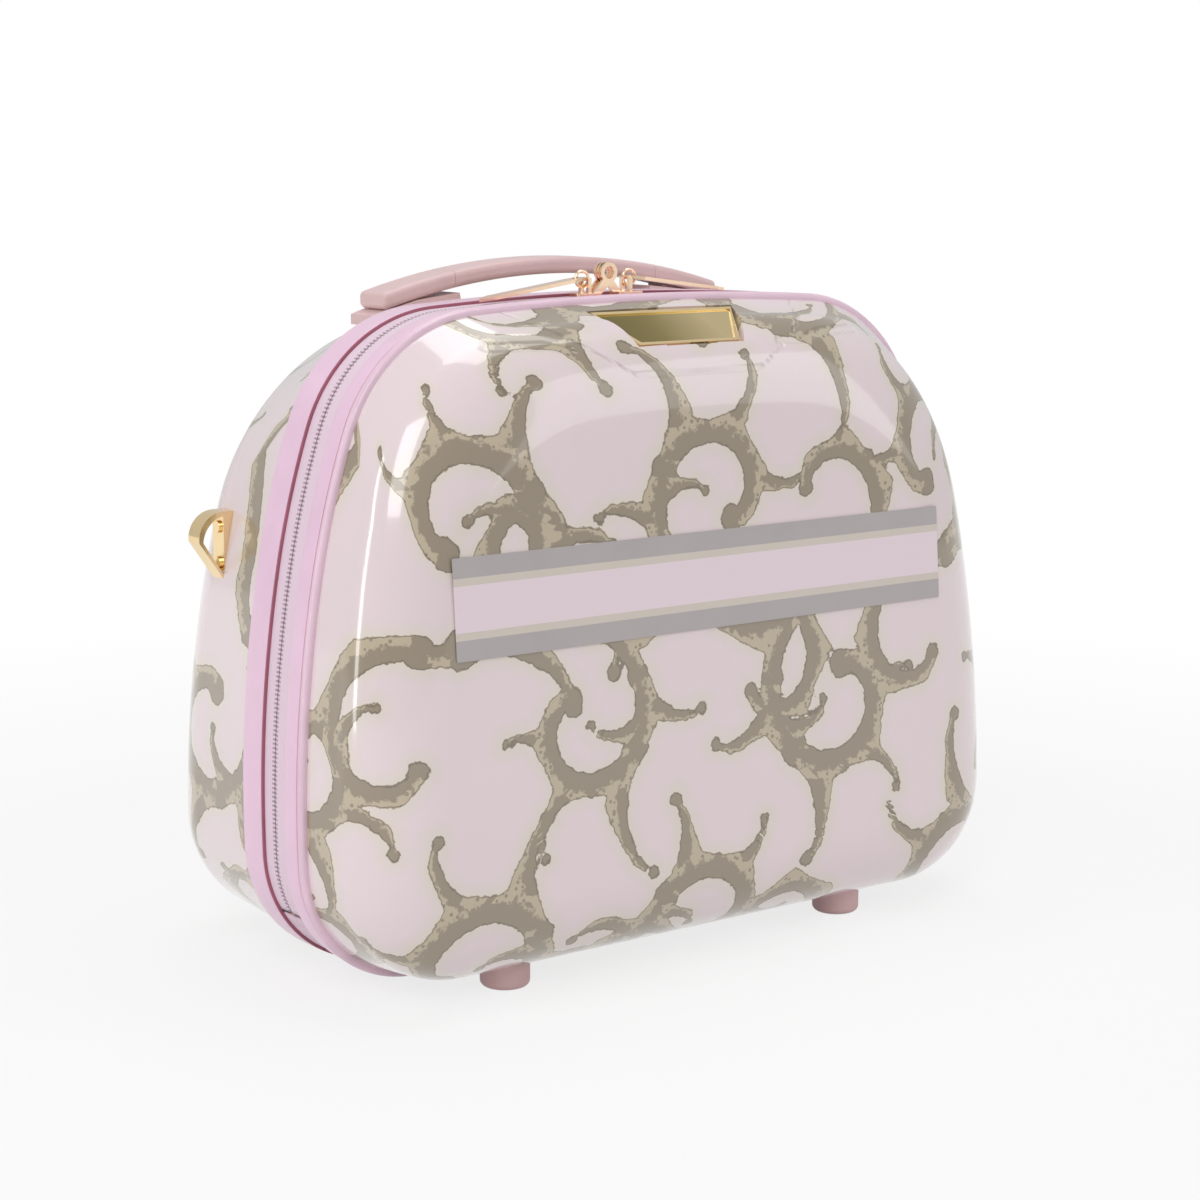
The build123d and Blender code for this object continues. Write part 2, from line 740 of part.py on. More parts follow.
def plate_cover(sign, grow):
    # The space round the name plate's seat, studs and clips
    with BuildPart() as cover:
        with BuildSketch(seat_plane):
            add(plate_outline(plate_margin + wall + cover_clearance + grow))
        extrude(amount=-(stud_length + cover_clearance + grow))
    return cover.part


def lining(side, rim_edge, cover, signs):
    room = half_form(side, wall + lining_gap + lining_thickness, rim_edge)
    for sign in signs:
        room = room - cover(sign, lining_thickness)
    with BuildPart() as bowl:
        add(half_form(side, wall + lining_gap, rim_edge))
        for sign in signs:
            add(cover(sign, 0), mode=Mode.SUBTRACT)
        add(room, mode=Mode.SUBTRACT)
        lip_end = side * (rim_edge + lining_lip)
        add(hoop(wall, wall + lining_gap + lining_thickness / 2, side * rim_edge, lip_end))
    return bowl.part, room


lid_lining, lid_room = lining(-1, lid_rim_edge, plate_cover, (1,))
base_lining = lining(1, base_rim_edge, handle_cover, (-1, 1))[0]
save(lid_lining, "lid_lining")
save(base_lining, "base_lining")

# A flat pocket across the lower part of the lid, with an elastic top edge
inner_inset = wall + lining_gap + lining_thickness
pocket_plane = leaning_plane(-1, lid_reach - inner_inset - pocket_spacing, lid_slope, lid_band, 1)
with BuildPart() as lid_pocket:
    with BuildSketch(pocket_plane):
        with Locations((0, pocket_height / 2)):
            Rectangle(2 * half_width, pocket_height)
    extrude(amount=pocket_thickness)
    add(lid_room, mode=Mode.INTERSECT)
save(lid_pocket.part, "lid_pocket")

with BuildPart() as pocket_elastic:
    with BuildSketch(pocket_plane.offset((pocket_thickness - elastic_thickness) / 2)):
        with Locations((0, pocket_height + sewn_gap + elastic_height / 2)):
            Rectangle(2 * half_width, elastic_height)
    extrude(amount=elastic_thickness)
    add(lid_room, mode=Mode.INTERSECT)
save(pocket_elastic.part, "pocket_elastic")
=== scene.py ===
import json
from math import cos, radians, sin, tan

import bmesh
import bpy
import numpy as np
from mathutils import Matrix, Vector


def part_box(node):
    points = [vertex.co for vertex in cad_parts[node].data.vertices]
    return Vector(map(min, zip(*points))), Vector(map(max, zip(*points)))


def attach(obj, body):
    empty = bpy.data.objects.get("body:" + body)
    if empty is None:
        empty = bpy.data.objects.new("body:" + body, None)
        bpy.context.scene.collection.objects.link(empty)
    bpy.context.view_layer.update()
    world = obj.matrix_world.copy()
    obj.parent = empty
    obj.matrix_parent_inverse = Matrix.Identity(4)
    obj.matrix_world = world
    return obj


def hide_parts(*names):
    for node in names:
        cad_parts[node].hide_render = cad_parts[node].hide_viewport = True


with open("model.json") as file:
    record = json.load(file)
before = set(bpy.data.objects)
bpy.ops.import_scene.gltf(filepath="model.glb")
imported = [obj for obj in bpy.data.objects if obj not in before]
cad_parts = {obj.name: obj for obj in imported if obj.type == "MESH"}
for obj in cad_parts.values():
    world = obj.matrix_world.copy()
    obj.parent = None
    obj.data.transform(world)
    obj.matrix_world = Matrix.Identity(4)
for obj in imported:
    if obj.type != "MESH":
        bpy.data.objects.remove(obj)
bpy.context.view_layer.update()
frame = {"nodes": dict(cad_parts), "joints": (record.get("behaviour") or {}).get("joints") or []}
nodes = frame["nodes"]
jointPlace = {j["name"]: j.get("pos_m") for j in frame["joints"]}
partingY = jointPlace["lid_hinge"][1]

# The case's outline at the parting line, in metres and degrees of turn
caseOutline = {
    "halfWidth": 0.165, "footHeight": 0.0064,
    "cornerRadius": 0.0499, "cornerEnd": 88.2,
    "sideRadius": 0.531, "sideEnd": 100.1,
    "upperRadius": 0.351, "upperEnd": 109.5,
    "shoulderRadius": 0.0639, "shoulderEnd": 176.1,
    "shoulderGrowth": 0.0489, "shoulderEarly": 8.6,
    "wall": 0.0024,
}
lidForm = {"side": -1, "reach": 0.0747, "lean": 4.4, "band": 0.0227, "rim": 0.0095,
           "share": 0.4, "draft": 0.0023, "round": 0.0345}
baseForm = {"side": 1, "reach": 0.111, "lean": 5.2, "band": 0.0228, "rim": 0.0085,
            "share": 0.54, "draft": 0.0025, "round": 0.0362}
outlineCounts = (44, 36, 44, 24, 42, 36)


def outlinePoints(inset, share):
    # Right half as a line and five arcs whose turn angle runs from 0 to 180 degrees, each moving by
    # radius times the change of (sine, minus cosine); the left half is its mirror. One row per inset.
    o = caseOutline
    inset = np.atleast_1d(inset).astype(float)[:, None]
    share = np.atleast_1d(share).astype(float)[:, None]
    start = sin(radians(o["cornerEnd"]))
    bottomHalf = o["halfWidth"] - o["cornerRadius"] * start - o["sideRadius"] * (1 - start)
    upperEnd = o["upperEnd"] - o["shoulderEarly"] * share
    zero = np.zeros_like(inset + share)
    x, z = zero + bottomHalf, zero + o["footHeight"] + inset
    lineX = np.linspace(0, 1, outlineCounts[0], endpoint=False)[None, :] * x
    columns = [(lineX, z + 0 * lineX, 0 * lineX, 0 * lineX - 1)]
    arcs = (
        (o["cornerRadius"] - inset, zero, zero + o["cornerEnd"]),
        (o["sideRadius"] - inset, zero + o["cornerEnd"], zero + o["sideEnd"]),
        (o["upperRadius"] - inset, zero + o["sideEnd"], upperEnd),
        (o["shoulderRadius"] + o["shoulderGrowth"] * share - inset, upperEnd, zero + o["shoulderEnd"]),
        (None, zero + o["shoulderEnd"], zero + 180),
    )
    for count, (radius, low, high) in zip(outlineCounts[1:], arcs):
        if radius is None:
            radius = x / sin(radians(180 - o["shoulderEnd"]))
        step = np.linspace(0, 1, count, endpoint=radius is None)[None, :]
        turn = np.radians(low + (high - low) * step)
        first, last = np.radians(low), np.radians(high)
        arcX = x + radius * (np.sin(turn) - np.sin(first))
        arcZ = z + radius * (np.cos(first) - np.cos(turn))
        columns.append((arcX, arcZ, np.sin(turn), -np.cos(turn)))
        z = z + radius * (np.cos(first) - np.cos(last))
        x = x + radius * (np.sin(last) - np.sin(first))
    columns.append((0 * x, z, 0 * x, 0 * x + 1))
    half = [np.concatenate(part, axis=1) for part in zip(*columns)]
    signs = (-1, 1, -1, 1)
    return [np.concatenate([h, s * h[:, -2:0:-1]], axis=1) for h, s in zip(half, signs)]


def shellRows(form, inset, counts, faceScales):
    # One side of a half's wall: rows from the rim along the straight band, the drafted wall, a quarter
    # turn of rounding and then the leaning flat face, shrunk towards its middle
    rimRows, wallRows, roundRows = counts
    slope = tan(radians(form["lean"]))
    rim = np.linspace(form["rim"], form["band"], rimRows, endpoint=False)
    wallShare = np.linspace(0, form["share"], wallRows, endpoint=False)
    turn = np.linspace(0, np.pi / 2, roundRows)
    share = np.concatenate([0 * rim, wallShare, form["share"] + (1 - form["share"]) * np.sin(turn)])
    pull = np.concatenate([
        0 * rim, form["draft"] * wallShare / form["share"],
        form["draft"] + form["round"] * (1 - np.cos(turn)),
    ])
    x, z, normalX, normalZ = outlinePoints(inset + pull, share)
    depth = form["band"] + (form["reach"] - inset - form["band"]) * share
    depth[:rimRows] = rim
    middle = (z[-1].min() + z[-1].max()) / 2
    scales = np.array(faceScales)[:, None]
    x = np.concatenate([x, x[-1:] * scales])
    z = np.concatenate([z, middle + (z[-1:] - middle) * scales])
    extra = len(faceScales)
    share = np.concatenate([share, np.ones(extra)])[:, None]
    depth = np.concatenate([depth, np.full(extra, depth[-1])])[:, None]
    lean = -form["side"] * slope * share
    long = np.sqrt(1 + lean**2)
    points = np.stack([x, partingY + form["side"] * depth + z * lean / long, z / long], axis=2)
    return points, x, z, normalX[-1], normalZ[-1], rimRows + wallRows + roundRows - 1


def unrolled(points, x, z, normalX, normalZ, edgeRow):
    # Flat chart of the outer surface: the face as it lies, and outside it each row set off along the
    # face outline's normal by its distance from the face, in millimetres
    step = np.linalg.norm(np.diff(points[: edgeRow + 1], axis=0), axis=2)
    away = np.zeros((edgeRow + 1, points.shape[1]))
    away[:-1] = np.cumsum(step[::-1], axis=0)[::-1]
    chart = np.stack([x, z], axis=2)
    chart[: edgeRow + 1, :, 0] = x[edgeRow] + normalX * away
    chart[: edgeRow + 1, :, 1] = z[edgeRow] + normalZ * away
    return chart * 1000


# The distance in millimetres given to a place that no scroll is near
noScroll = 60.0
scrollPrint = {"pitchX": 124.0, "pitchZ": 92.0, "radius": 47.0, "width": 13.5, "curl": 0.2, "turns": 0.98,
               "tailRadius": 34.0, "tailWidth": 13.0, "tailTurns": 0.7, "lobes": 3.0, "lobeRise": 0.75}
# Fronds: where they leave the stroke (radians along it), radius as a share of it, side, turns
frondPlaces = ((0.35, 0.95, 1, 0.24), (1.25, 0.62, 1, 0.30), (2.2, 0.80, 1, 0.24), (3.2, 0.50, 1, 0.30),
               (1.7, 0.42, -1, 0.30), (4.3, 0.45, 1, 0.28))


def scrollList(seed):
    # Staggered S-scrolls: a large curl, a smaller one that turns the other way at its outer end, and
    # tapering fronds that leave the large one at intervals. Each is centre, radius, width, start angle,
    # hand, turns, the share of its width that it starts with and the share that it ends with.
    s = scrollPrint
    random = np.random.default_rng(seed)
    found = []
    for row in range(-1, 5):
        for column in range(-3, 4):
            centre = np.array([(column + 0.5 * (row % 2)) * s["pitchX"], 12 + row * s["pitchZ"]])
            centre += random.uniform(-8, 8, 2)
            size = random.uniform(0.9, 1.1)
            hand = 1 if (row + column) % 2 else -1
            angle = random.uniform(-0.7, 0.7) + (np.pi / 2 if row % 2 else -np.pi / 2)
            radius = s["radius"] * size
            found.append((centre, radius, s["width"] * size, angle, hand, s["turns"], 0.7, 0.75))
            reach = radius + s["tailRadius"] * size
            tail = centre + reach * np.array([np.cos(angle), np.sin(angle)])
            found.append((tail, s["tailRadius"] * size, s["tailWidth"] * size, angle + np.pi, hand,
                          s["tailTurns"], 0.8, 0.5))
            for swept, share, side, turns in frondPlaces:
                ring = radius * np.exp(-s["curl"] * swept)
                bearing = angle + hand * swept
                joint = centre + ring * np.array([np.cos(bearing), np.sin(bearing)])
                heading = bearing + hand * 0.5 + (0 if side > 0 else np.pi)
                curl = share * radius * random.uniform(0.85, 1.15)
                middle = joint + curl * np.array([np.cos(heading), np.sin(heading)])
                frondHand = hand * (-side)
                found.append((middle, curl, 0.27 * radius * share**0.5, heading + np.pi, frondHand,
                              turns * random.uniform(0.9, 1.2), 1.0, 0.25))
    return found


def scrollField(chart, seed):
    # Distance in millimetres to the nearest scroll's edge, below zero inside it, and the place across
    # its stroke. A stroke follows a shrinking spiral from its start width to its end width, has pointed
    # lobes on its outside, and ends in a small bud.
    s = scrollPrint
    nearest = np.full(chart.shape[:-1], noScroll)
    across = np.zeros(chart.shape[:-1])
    for centre, radius, width, angle, hand, turns, start, finish in scrollList(seed):
        offset = chart - centre
        far = np.hypot(offset[..., 0], offset[..., 1])
        swept = (hand * (np.arctan2(offset[..., 1], offset[..., 0]) - angle)) % (2 * np.pi)
        whole = 2 * np.pi * turns
        part = np.clip(swept / whole, 0, 1)
        ring = radius * np.exp(-s["curl"] * swept)
        swell = (start + (finish - start) * part) * (0.75 + 0.5 * np.sin(np.pi * part))
        lobe = 1 + s["lobeRise"] * (0.45 - np.abs(np.sin(s["lobes"] * (swept + 0.4)))) * np.sin(np.pi * part)
        gap = far - ring
        field = np.where(gap > 0, gap - width * swell * lobe * 0.7, -gap - width * swell * 0.45)
        field = np.where(swept > whole, noScroll, field)
        closer = field < nearest
        nearest = np.where(closer, field, nearest)
        across = np.where(closer, gap / (width * np.maximum(swell, 0.15)), across)
        caps = ((angle, radius, 0.6 * start), (angle + hand * whole, radius * np.exp(-s["curl"] * whole),
                                               max(0.6 * finish, 0.3)))
        for bearing, reach, share in caps:
            middle = reach * np.array([np.cos(bearing), np.sin(bearing)])
            bud = np.hypot(offset[..., 0] - middle[0], offset[..., 1] - middle[1]) - share * width
            closer = bud < nearest
            nearest = np.where(closer, bud, nearest)
            across = np.where(closer, -0.1, across)
    return nearest, across


def fillMesh(name, points, faces, attributes=(), uv=None, sharp=40):
    # A smooth mesh with outward faces and named point values
    mesh = bpy.data.meshes.new(name)
    mesh.from_pydata(points.reshape(-1, 3).tolist(), [], faces)
    for label, values in attributes:
        layer = mesh.attributes.new(label, "FLOAT", "POINT")
        layer.data.foreach_set("value", values.ravel().astype(np.float32))
    if uv is not None:
        layer = mesh.uv_layers.new(name="along")
        corners = np.empty(len(mesh.loops), dtype=np.int64)
        mesh.loops.foreach_get("vertex_index", corners)
        layer.data.foreach_set("uv", uv.reshape(-1, 2)[corners].ravel().astype(np.float32))
    work = bmesh.new()
    work.from_mesh(mesh)
    bmesh.ops.recalc_face_normals(work, faces=work.faces)
    work.to_mesh(mesh)
    work.free()
    mesh.shade_smooth()
    mesh.set_sharp_from_angle(angle=radians(sharp))
    piece = bpy.data.objects.new(name, mesh)
    bpy.context.scene.collection.objects.link(piece)
    return piece


def gridFaces(rows, columns, wrapRows, wrapColumns):
    # Index quads of a grid, each axis either open or joined end to end
    r = np.arange(rows if wrapRows else rows - 1)[:, None]
    c = np.arange(columns if wrapColumns else columns - 1)[None, :]
    below, beside = (r + 1) % rows, (c + 1) % columns
    quads = [r * columns + c, r * columns + beside, below * columns + beside, below * columns + c]
    return np.stack([q + 0 * r + 0 * c for q in quads], axis=-1).reshape(-1, 4).tolist()


def ringFans(start, columns, tip):
    # Triangles from one closed ring of a grid to a single point
    ring = np.arange(columns)
    corners = (start + ring, start + (ring + 1) % columns, np.full(columns, tip))
    return np.stack(corners, axis=1).tolist()


def place(piece, body, material, replaced=()):
    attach(piece, body)
    if replaced:
        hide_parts(*replaced)
    piece.data.materials.clear()
    piece.data.materials.append(material)
    return piece


def startMaterial(name, roughness, metallic=0.0, coat=0.0, sheen=0.0, coatRoughness=0.04):
    material = bpy.data.materials.new(name)
    material.use_nodes = True
    tree = material.node_tree
    shader = tree.nodes["Principled BSDF"]
    shader.inputs["Roughness"].default_value = roughness
    shader.inputs["Metallic"].default_value = metallic
    shader.inputs["Coat Weight"].default_value = coat
    shader.inputs["Coat Roughness"].default_value = coatRoughness
    shader.inputs["Sheen Weight"].default_value = sheen
    return material, tree, shader


def link(tree, source, target):
    tree.links.new(source, target)


def mathNode(tree, operation, first, second=None, third=None, clamp=False):
    node = tree.nodes.new("ShaderNodeMath")
    node.operation = operation
    node.use_clamp = clamp
    for socket, value in zip(node.inputs, (first, second, third)):
        if value is None:
            continue
        if isinstance(value, (int, float)):
            socket.default_value = value
        else:
            link(tree, value, socket)
    return node.outputs[0]


def rampNode(tree, source, stops):
    node = tree.nodes.new("ShaderNodeValToRGB")
    while len(node.color_ramp.elements) < len(stops):
        node.color_ramp.elements.new(0.5)
    for element, (position, colour) in zip(node.color_ramp.elements, stops):
        element.position = position
        element.color = (*colour, 1)
    link(tree, source, node.inputs[0])
    return node.outputs[0]


def mixNode(tree, factor, first, second, blend="MIX"):
    node = tree.nodes.new("ShaderNodeMix")
    node.data_type = "RGBA"
    node.blend_type = blend
    for socket, value in ((node.inputs[0], factor), (node.inputs[6], first), (node.inputs[7], second)):
        if isinstance(value, (int, float)):
            socket.default_value = value
        elif isinstance(value, tuple):
            socket.default_value = (*value, 1)
        else:
            link(tree, value, socket)
    return node.outputs[2]


def objectPlace(tree):
    return tree.nodes.new("ShaderNodeTexCoord").outputs["Object"]


def noiseNode(tree, scale, detail=3.0, roughness=0.5, source=None):
    node = tree.nodes.new("ShaderNodeTexNoise")
    node.inputs["Scale"].default_value = scale
    node.inputs["Detail"].default_value = detail
    node.inputs["Roughness"].default_value = roughness
    link(tree, source or objectPlace(tree), node.inputs["Vector"])
    return node.outputs["Fac"]


def bumpNode(tree, shader, height, distance, strength=1.0):
    node = tree.nodes.new("ShaderNodeBump")
    node.inputs["Distance"].default_value = distance
    node.inputs["Strength"].default_value = strength
    link(tree, height, node.inputs["Height"])
    link(tree, node.outputs[0], shader.inputs["Normal"])


def plainFinish(name, colour, roughness, vary=0.05, scale=60.0, grain=900.0, bump=0.00004, **more):
    # One colour with slow variation, a fine grain, and roughness that follows the variation
    material, tree, shader = startMaterial(name, roughness, **more)
    slow = noiseNode(tree, scale)
    dark = tuple(c * (1 - vary) for c in colour)
    light = tuple(min(1.0, c * (1 + vary)) for c in colour)
    link(tree, rampNode(tree, slow, [(0.3, dark), (0.7, light)]), shader.inputs["Base Color"])
    rough = mathNode(tree, "MULTIPLY_ADD", slow, 0.12, roughness - 0.06, clamp=True)
    link(tree, rough, shader.inputs["Roughness"])
    bumpNode(tree, shader, noiseNode(tree, grain, 2.0), bump)
    return material


def attributeValue(tree, label):
    node = tree.nodes.new("ShaderNodeAttribute")
    node.attribute_name = label
    return node.outputs["Fac"]


printColours = {"ground": (0.83, 0.70, 0.73), "cream": (0.78, 0.72, 0.60), "beige": (0.56, 0.47, 0.34),
                "taupe": (0.33, 0.27, 0.195), "outline": (0.20, 0.155, 0.105)}


def shellPrintMaterial():
    # Scrolls from the distance stored on the shell: cream fringe, taupe body, beige ragged lobes with
    # small spots, a thin dark edge, all under a clear coat; pressed lines come from the relief distance
    material, tree, shader = startMaterial("shellPrint", 0.16, coat=1.0)
    c = printColours
    distance = attributeValue(tree, "scrollDistance")
    ragged = mathNode(tree, "SUBTRACT", noiseNode(tree, 260.0, 4.0, 0.6), 0.5)
    edge = mathNode(tree, "MULTIPLY_ADD", ragged, 3.4, distance)
    fringe = mathNode(tree, "MULTIPLY_ADD", edge, -0.16, 1.0, clamp=True)
    cloud = mathNode(tree, "MULTIPLY", fringe, noiseNode(tree, 120.0, 5.0, 0.65))
    ground = mixNode(tree, noiseNode(tree, 9.0), c["ground"], tuple(v * 1.05 for v in c["ground"]))
    colour = mixNode(tree, mathNode(tree, "MULTIPLY", cloud, 1.35, clamp=True), ground, c["cream"])
    across = attributeValue(tree, "scrollAcross")
    lobe = mathNode(tree, "MULTIPLY_ADD", ragged, 1.1, across)
    lobeMask = mathNode(tree, "MULTIPLY_ADD", lobe, 9.0, -1.6, clamp=True)
    body = mixNode(tree, lobeMask, c["taupe"], c["beige"])
    spots = tree.nodes.new("ShaderNodeTexVoronoi")
    spots.inputs["Scale"].default_value = 330.0
    link(tree, objectPlace(tree), spots.inputs["Vector"])
    dots = mathNode(tree, "LESS_THAN", spots.outputs["Distance"], 0.27)
    body = mixNode(tree, mathNode(tree, "MULTIPLY", dots, lobeMask), body, c["taupe"])
    inside = mathNode(tree, "MULTIPLY_ADD", edge, -4.0, 0.5, clamp=True)
    colour = mixNode(tree, inside, colour, body)
    rim = mathNode(tree, "ABSOLUTE", mathNode(tree, "ADD", edge, 0.45))
    rimMask = mathNode(tree, "MULTIPLY_ADD", rim, -4.0, 1.6, clamp=True)
    colour = mixNode(tree, mathNode(tree, "MULTIPLY", rimMask, 0.75), colour, c["outline"])
    link(tree, colour, shader.inputs["Base Color"])
    relief = mathNode(tree, "MULTIPLY_ADD", attributeValue(tree, "relief"), 0.9, 0.5, clamp=True)
    waves = mathNode(tree, "MULTIPLY_ADD", noiseNode(tree, 14.0, 1.0), 0.05, relief)
    bumpNode(tree, shader, waves, 0.0009, 0.9)
    return material


def tapeMaterial(name, colour, dash):
    # Woven tape: ribs along the length and threads across, with darker dashes where the teeth meet
    material, tree, shader = startMaterial(name, 0.62, sheen=0.25)
    along = tree.nodes.new("ShaderNodeUVMap")
    along.uv_map = "along"
    split = tree.nodes.new("ShaderNodeSeparateXYZ")
    link(tree, along.outputs[0], split.inputs[0])
    ribs = mathNode(tree, "SINE", mathNode(tree, "MULTIPLY", split.outputs[1], 5200.0))
    threads = mathNode(tree, "SINE", mathNode(tree, "MULTIPLY", split.outputs[0], 6200.0))
    weave = mathNode(tree, "MULTIPLY_ADD", mathNode(tree, "MULTIPLY", ribs, threads), 0.25, 0.5)
    weave = mathNode(tree, "MULTIPLY_ADD", ribs, 0.22, weave)
    dark = tuple(v * 0.86 for v in colour)
    result = rampNode(tree, weave, [(0.2, dark), (0.75, colour)])
    if dash:
        teeth = mathNode(tree, "SINE", mathNode(tree, "MULTIPLY", split.outputs[0], 3600.0))
        near = mathNode(tree, "LESS_THAN", mathNode(tree, "ABSOLUTE", split.outputs[1]), 0.0019)
        mask = mathNode(tree, "MULTIPLY", near, mathNode(tree, "MULTIPLY_ADD", teeth, 2.0, 0.3, clamp=True))
        result = mixNode(tree, mask, result, tuple(v * 0.45 for v in colour))
    link(tree, result, shader.inputs["Base Color"])
    bumpNode(tree, shader, weave, 0.00012)
    return material


def weaveMaterial(name, colour, pitch, depth, vary=0.06):
    # Cloth by object coordinates: two crossed waves over slow variation
    material, tree, shader = startMaterial(name, 0.75, sheen=0.35)
    split = tree.nodes.new("ShaderNodeSeparateXYZ")
    link(tree, objectPlace(tree), split.inputs[0])
    first = mathNode(tree, "SINE", mathNode(tree, "MULTIPLY", split.outputs[0], 6.283 / pitch))
    second = mathNode(tree, "SINE", mathNode(tree, "MULTIPLY", split.outputs[2], 6.283 / pitch))
    weave = mathNode(tree, "MULTIPLY_ADD", mathNode(tree, "MULTIPLY", first, second), 0.5, 0.5)
    slow = noiseNode(tree, 25.0)
    tone = mathNode(tree, "MULTIPLY_ADD", slow, 0.6, mathNode(tree, "MULTIPLY", weave, 0.4))
    dark = tuple(v * (1 - 2 * vary) for v in colour)
    link(tree, rampNode(tree, tone, [(0.25, dark), (0.7, colour)]), shader.inputs["Base Color"])
    bumpNode(tree, shader, weave, depth)
    return material


stripe = {"grey": (0.42, 0.38, 0.38), "beige": (0.66, 0.58, 0.50), "lilac": (0.84, 0.70, 0.76)}


def stripMaterial():
    # Five level stripes across the film's height
    material, tree, shader = startMaterial("stripedFilm", 0.2, coat=1.0)
    low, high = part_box("front_strip")
    split = tree.nodes.new("ShaderNodeSeparateXYZ")
    link(tree, objectPlace(tree), split.inputs[0])
    height = tree.nodes.new("ShaderNodeMapRange")
    height.inputs["From Min"].default_value = low.z
    height.inputs["From Max"].default_value = high.z
    link(tree, split.outputs[2], height.inputs["Value"])
    bands = [(0.0, stripe["grey"]), (0.2, stripe["beige"]), (0.275, stripe["lilac"]),
             (0.725, stripe["beige"]), (0.8, stripe["grey"])]
    colour = rampNode(tree, height.outputs[0], bands)
    ramp = [n for n in tree.nodes if n.bl_idname == "ShaderNodeValToRGB"][-1]
    ramp.color_ramp.interpolation = "CONSTANT"
    shade = noiseNode(tree, 40.0)
    link(tree, mixNode(tree, mathNode(tree, "MULTIPLY", shade, 0.12), colour, (0.9, 0.82, 0.84)),
         shader.inputs["Base Color"])
    bumpNode(tree, shader, shade, 0.0001)
    return material


def plateMaterial():
    # Dark mirror with a painted reflection: its colour runs from olive at one end to pale gold at the other
    material, tree, shader = startMaterial("plateMirror", 0.12, metallic=1.0)
    split = tree.nodes.new("ShaderNodeSeparateXYZ")
    link(tree, objectPlace(tree), split.inputs[0])
    # The olive-to-gold run along the plate, with slow noise on it, is painted reflection
    slide = mathNode(tree, "MULTIPLY_ADD", split.outputs[0], 13.0, 0.5)
    paintedReflection = mathNode(tree, "MULTIPLY_ADD", noiseNode(tree, 30.0), 0.25, slide)
    stops = [(0.1, (0.20, 0.16, 0.05)), (0.5, (0.36, 0.29, 0.11)), (0.9, (0.75, 0.61, 0.34))]
    link(tree, rampNode(tree, paintedReflection, stops), shader.inputs["Base Color"])
    bumpNode(tree, shader, noiseNode(tree, 300.0), 0.00002)
    return material


gold = plainFinish("goldMetal", (0.90, 0.70, 0.40), 0.17, metallic=1.0, bump=0.00001)
roseGold = plainFinish("roseGold", (0.93, 0.70, 0.50), 0.18, metallic=1.0, bump=0.00001)
steel = plainFinish("plainSteel", (0.60, 0.60, 0.62), 0.33, metallic=1.0, bump=0.00002)
handleRose = plainFinish("handleRose", (0.76, 0.54, 0.54), 0.4, vary=0.03, sheen=0.1, bump=0.00003)
footRubber = plainFinish("footRubber", (0.76, 0.52, 0.52), 0.5, vary=0.04)
backingPlastic = plainFinish("backingPlastic", (0.60, 0.52, 0.52), 0.5)
bandPink = plainFinish("bandPink", (0.88, 0.60, 0.77), 0.36, vary=0.03, grain=1500.0, coat=0.3, sheen=0.15)
pipingPink = plainFinish("pipingPink", (0.84, 0.60, 0.72), 0.36, vary=0.04, grain=1500.0, coat=0.3)
# Crimson for the rear trim's edge face: a painted shadow under the trim's lip
edgeCrimson = plainFinish("edgeCrimson", (0.36, 0.11, 0.16), 0.5, vary=0.1)
# Darker rose for the groove between the front trim and the piping: painted shade
edgeRose = plainFinish("edgeRose", (0.62, 0.34, 0.44), 0.5, vary=0.08)
coilPlastic = plainFinish("coilPlastic", (0.70, 0.45, 0.55), 0.45)
zipTape = tapeMaterial("zipTape", (0.90, 0.70, 0.82), True)
hingeTape = tapeMaterial("hingeTape", (0.86, 0.64, 0.77), False)
liningCloth = weaveMaterial("liningCloth", (0.78, 0.60, 0.66), 0.0011, 0.00008)
pocketMesh = weaveMaterial("pocketMesh", (0.62, 0.44, 0.50), 0.0022, 0.0002, 0.14)
elasticTape = weaveMaterial("elasticTape", (0.70, 0.50, 0.58), 0.0030, 0.0003, 0.1)
shellPrint = shellPrintMaterial()
print("materials made")


plateSeat = {"y": -0.0389, "drop": 0.0094, "slope": 32.6, "depth": 0.0020, "lipSlope": 0.0004,
             "top": 0.0720, "bottom": 0.0510, "height": 0.0224, "margin": 0.0014}
crownHeight = outlinePoints(0, 0)[1].max()
plateOrigin = np.array([0, partingY + plateSeat["y"], crownHeight - plateSeat["drop"]])
plateNormal = np.array([0, -sin(radians(plateSeat["slope"])), cos(radians(plateSeat["slope"]))])
plateUp = np.array([0, cos(radians(plateSeat["slope"])), sin(radians(plateSeat["slope"]))])


def plateEdges(grow):
    # The trapezium's four edges as a point and an outward direction in the plate's plane
    half = plateSeat["height"] / 2 + grow
    bottom, top = plateSeat["bottom"] / 2 + grow, plateSeat["top"] / 2 + grow
    lean = np.array([2 * half, -(top - bottom)]) / np.hypot(2 * half, top - bottom)
    sides = [((bottom, -half), lean), ((-bottom, -half), lean * (-1, 1)), ((0, half), (0, 1)),
             ((0, -half), (0, -1))]
    return [(np.array(p), np.array(d)) for p, d in sides]


def outsidePlate(u, v, grow):
    # How far a place in the plate's plane lies outside the grown trapezium, below zero inside
    return np.max([(u - p[0]) * d[0] + (v - p[1]) * d[1] for p, d in plateEdges(grow)], axis=0)


